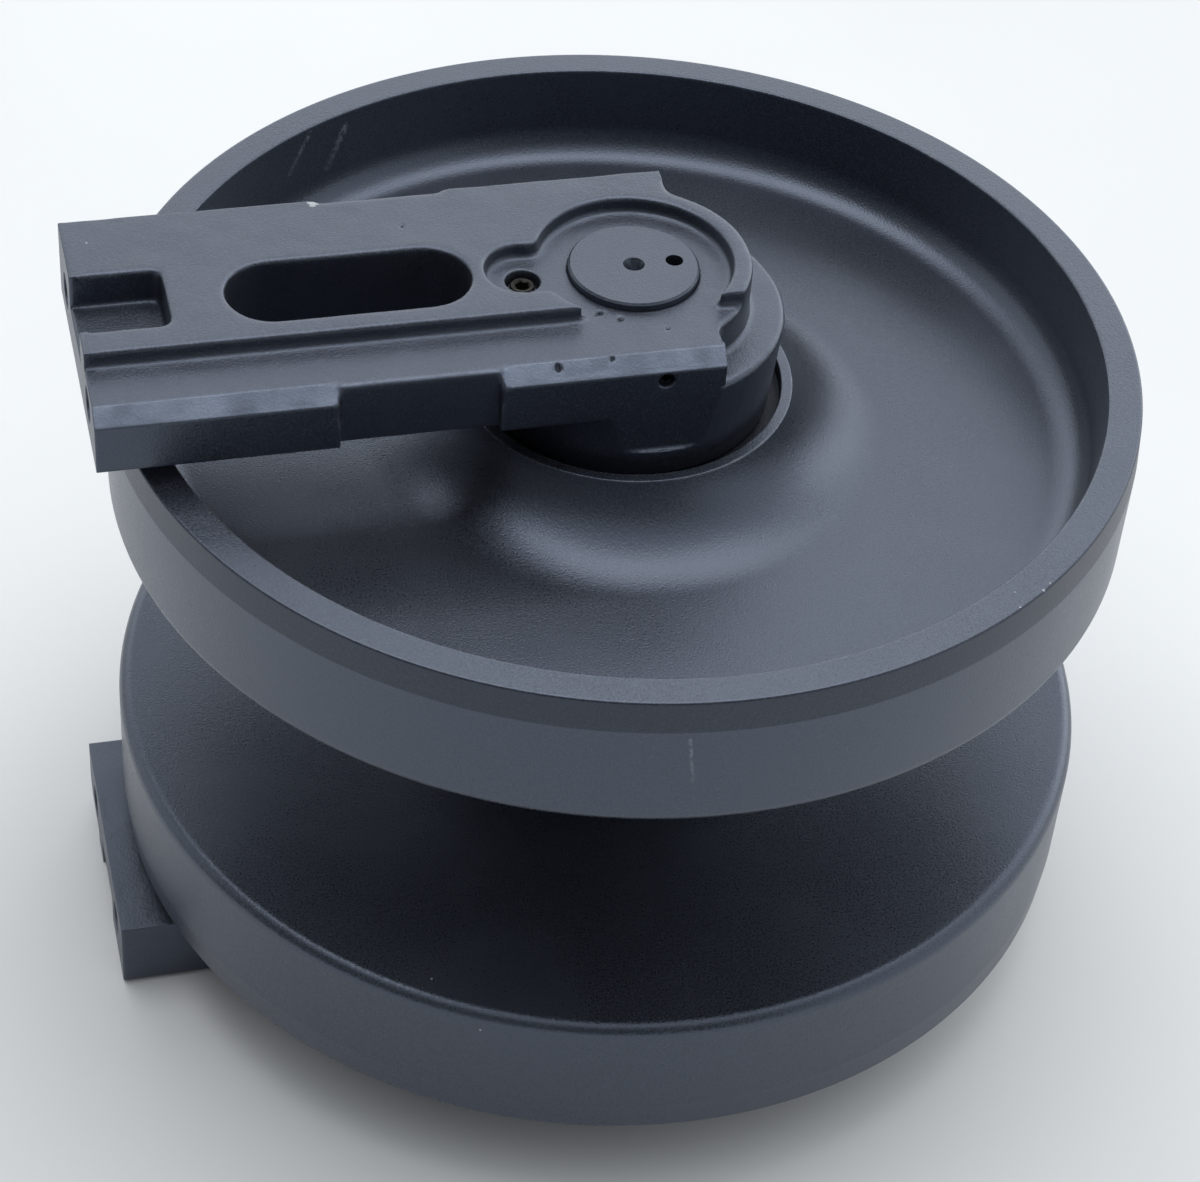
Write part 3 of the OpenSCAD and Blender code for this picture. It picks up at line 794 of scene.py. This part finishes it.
# Chips in the paint, each with its place and size, and scratches from one place to another
RIM_CHIPS = [
    ((-23.6 * MM, -198.6 * MM, 115 * MM), 1.0 * MM),
    ((-19.3 * MM, -198.9 * MM, 115 * MM), 1.4 * MM),
    ((-13.9 * MM, -199.0 * MM, 115 * MM), 1.1 * MM),
    ((113.8 * MM, -162.6 * MM, 115 * MM), 1.1 * MM),
    ((117.2 * MM, -159.4 * MM, 115 * MM), 0.7 * MM),
    ((102.3 * MM, -169.7 * MM, 115 * MM), 0.6 * MM),
    ((103.1 * MM, -161.8 * MM, 115 * MM), 0.5 * MM),
    ((-92.3 * MM, 160.3 * MM, 115 * MM), 1.6 * MM),
    ((-103.4 * MM, -158.7 * MM, -56 * MM), 0.9 * MM),
    ((-55.4 * MM, -186.8 * MM, -58 * MM), 0.9 * MM),
    ((-53.1 * MM, -72.0 * MM, 82 * MM), 0.8 * MM),
    ((-33.8 * MM, -62.6 * MM, 90 * MM), 0.8 * MM),
    ((-20.5 * MM, -63.6 * MM, 91 * MM), 0.7 * MM),
    ((78.1 * MM, -34.5 * MM, 79 * MM), 0.8 * MM),
    ((-88.6 * MM, -179.3 * MM, -64.8 * MM), 1.0 * MM),
]
RIM_SCRATCHES = [
    ((-25.1 * MM, -198.4 * MM, 98.5 * MM), (-22.5 * MM, -198.7 * MM, 77.6 * MM), 0.9 * MM),
    ((-96.2 * MM, 158.8 * MM, 112.5 * MM), (-106.1 * MM, 151.1 * MM, 98.2 * MM), 1.5 * MM),
    ((-79.4 * MM, 166.6 * MM, 108.5 * MM), (-88.5 * MM, 161.9 * MM, 92.4 * MM), 2.4 * MM),
]
BRACKET_CHIPS = [
    ((-114 * MM, 51.0 * MM, 155.2 * MM), 3.4 * MM),
    ((-201 * MM, 38.8 * MM, 155.5 * MM), 0.6 * MM),
    ((-207.9 * MM, -55.0 * MM, -121.0 * MM), 1.6 * MM),
]

wheel_paint = satin_paint("satin_paint_on_wheel", shine=1.0, gloss=0.32, grain=2.4 * MM,
                          grain_depth=0.04 * MM, chips=RIM_CHIPS, scratches=RIM_SCRATCHES, wear=0.3)
# Duller copy of the satin paint for the wheel's upper band, as painted shade
band_shade_paint = satin_paint("dull_paint_on_band", shine=0.62, gloss=0.38, grain=2.4 * MM,
                         grain_depth=0.04 * MM, chips=RIM_CHIPS, wear=0.3)
bracket_paint = satin_paint("satin_paint_on_casting", shine=1.0, gloss=0.39, grain=1.2 * MM,
                            grain_depth=0.11 * MM, chips=BRACKET_CHIPS, wear=0.16)
axle_paint = satin_paint("satin_paint_on_axle", shine=1.0, gloss=0.36, grain=1.8 * MM,
                         grain_depth=0.05 * MM)
bronze = turned_metal("oiled_bronze", rgb(0.30, 0.17, 0.07), rgb(0.52, 0.33, 0.14),
                      roughness=0.32, rings=0.5 * MM, depth=0.01 * MM)
seal_iron = turned_metal("lapped_iron", rgb(0.13, 0.13, 0.14), rgb(0.30, 0.30, 0.31),
                         roughness=0.30, rings=0.3 * MM, depth=0.006 * MM)
seal_rubber = ring_rubber("black_ring_rubber")
pin_steel = black_steel("blackened_pin_steel", rgb(0.006, 0.007, 0.009), rgb(0.014, 0.015, 0.018),
                        gloss_low=0.55)
plug_steel = black_steel("oily_plug_steel", rgb(0.012, 0.011, 0.010), rgb(0.036, 0.032, 0.028),
                         gloss_low=0.38)
# Dull dark copy of the satin paint, as painted shade inside the hub and in the castings' pits
hollow_shade_paint = satin_paint("dark_paint_in_hollows", shine=0.15, gloss=0.45, grain=2.4 * MM,
                         grain_depth=0.04 * MM)

wheel = idler_wheel(wheel_paint, band_shade_paint, hollow_shade_paint)
place(wheel, TURNING, "idler_wheel", "wheel_paint")

casting = cast_bracket("upper_bracket")
ENDS = {"upper": casting, "lower": turned_over(casting)}
for end, mesh in ENDS.items():
    bracket = darken_pits(painted(end + "_casting", mesh, bracket_paint), hollow_shade_paint)
    place(bracket, FIXED, end + "_bracket", "bracket_paint")

plug = oil_plug()
pin = lock_pin()
for end in ("upper", "lower"):
    plug_mesh = plug if end == "upper" else turned_over(plug)
    place(painted(end + "_socket_plug", plug_mesh, plug_steel), FIXED, end + "_oil_plug", "plug_steel")
    pin_mesh = pin if end == "upper" else turned_over(pin)
    place(painted(end + "_spring_pin", pin_mesh, pin_steel), FIXED, end + "_lock_pin", "pin_steel")
    repaint(end + "_bushing", bronze)
    repaint(end + "_axle_o_ring", seal_rubber)
    for kind in ("turning", "fixed"):
        repaint(f"{end}_{kind}_seal_ring", seal_iron)
        repaint(f"{end}_{kind}_toric", seal_rubber)
repaint("axle_shaft", axle_paint)


# Floor, light and camera

FLOOR_R = 9.0
FLOOR_GAP = 0.2 * MM
FLOOR_DARK = rgb(0.81, 0.825, 0.84)
FLOOR_LIGHT = rgb(0.84, 0.855, 0.87)


def pale_floor():
    """A wide pale disc under the part."""
    shape = bmesh.new()
    bmesh.ops.create_circle(shape, cap_ends=True, radius=FLOOR_R, segments=96)
    mesh = bpy.data.meshes.new("floor")
    shape.to_mesh(mesh)
    shape.free()
    mesh.transform(Matrix.Translation((0.0, 0.0, FLOOR_Z - FLOOR_GAP)))
    f = Finish("pale_floor", 0.9)
    tint = f.rise(f.noise(0.4, 3.0), 0.3, 0.7)
    mesh.materials.append(f.connect(Base_Color=f.mix(tint, FLOOR_DARK, FLOOR_LIGHT)))
    floor = new_object("floor", mesh)


def soft_box(name, position, aim, size, power):
    """A wide soft lamp that faces a point."""
    lamp = bpy.data.lights.new(name, "AREA")
    lamp.shape = "RECTANGLE"
    lamp.size, lamp.size_y = size
    lamp.energy = power
    holder = new_object(name, lamp)
    holder.location = position
    holder.rotation_euler = (Vector(aim) - Vector(position)).to_track_quat("-Z", "Y").to_euler()


# Light of the dome by direction: where it changes, and its levels or shares there
DOME_COLOUR = rgb(0.95, 0.98, 1.0)
FRONT_TO_BACK = (-0.05, 0.45)
FRONT_RISE = (0.68, 0.92)
FRONT_LEVELS = (0.18, 0.95)
BACK_RISE = (-0.02, 0.14)
BACK_LEVELS = (0.3, 1.85)
BACK_FALL = (0.585, 0.70)
BACK_TOP_SHARE = 0.22
LEFT_RISE = (-0.6, -0.15)
LEFT_SHARE = 0.5
RIGHT_RISE = (0.2, 0.8)
RIGHT_LEVEL = 0.7


def studio_dome():
    """A soft dome: dark low in front, bright low behind, dimmer at the left and lighter at the right."""
    world = bpy.data.worlds.new("dome")
    bpy.context.scene.world = world
    world.use_nodes = True
    tree = world.node_tree

    def rise(value, reach, start, end):
        inputs = {"Value": value, 1: reach[0], 2: reach[1], 3: start, 4: end}
        return add_node(tree, "ShaderNodeMapRange", inputs, interpolation_type="SMOOTHSTEP").outputs[0]

    def calc(operation, first, second):
        return add_node(tree, "ShaderNodeMath", {0: first, 1: second}, operation=operation).outputs[0]

    way = add_node(tree, "ShaderNodeTexCoord").outputs["Generated"]
    x, y, z = add_node(tree, "ShaderNodeSeparateXYZ", {0: way}).outputs
    front = rise(z, FRONT_RISE, *FRONT_LEVELS)
    band = calc("MULTIPLY", rise(z, BACK_RISE, *BACK_LEVELS), rise(z, BACK_FALL, 1.0, BACK_TOP_SHARE))
    behind = calc("MULTIPLY", band, rise(x, LEFT_RISE, LEFT_SHARE, 1.0))
    level = add_node(tree, "ShaderNodeMix", {0: rise(y, FRONT_TO_BACK, 0.0, 1.0), 2: front, 3: behind})
    right = rise(x, RIGHT_RISE, 0.0, RIGHT_LEVEL)
    back = tree.nodes["Background"]
    back.inputs["Color"].default_value = DOME_COLOUR
    tree.links.new(calc("ADD", level.outputs[0], right), back.inputs["Strength"])


def photo_camera():
    """The camera of the photograph, as fitted to its outlines."""
    data = bpy.data.cameras.new("camera")
    data.lens = 97.58
    data.sensor_width = 36.0
    camera = new_object("camera", data)
    camera.location = (-0.2879, -0.9480, 0.8879)
    camera.rotation_euler = (0.8294, -0.0634, -0.2347)
    bpy.context.scene.camera = camera


pale_floor()
studio_dome()
soft_box("overhead", (0.0, 0.40, 1.6), (0.0, 0.40, 0.0), (1.8, 1.2), 14.5)
photo_camera()
bpy.context.scene.view_settings.view_transform = "Standard"
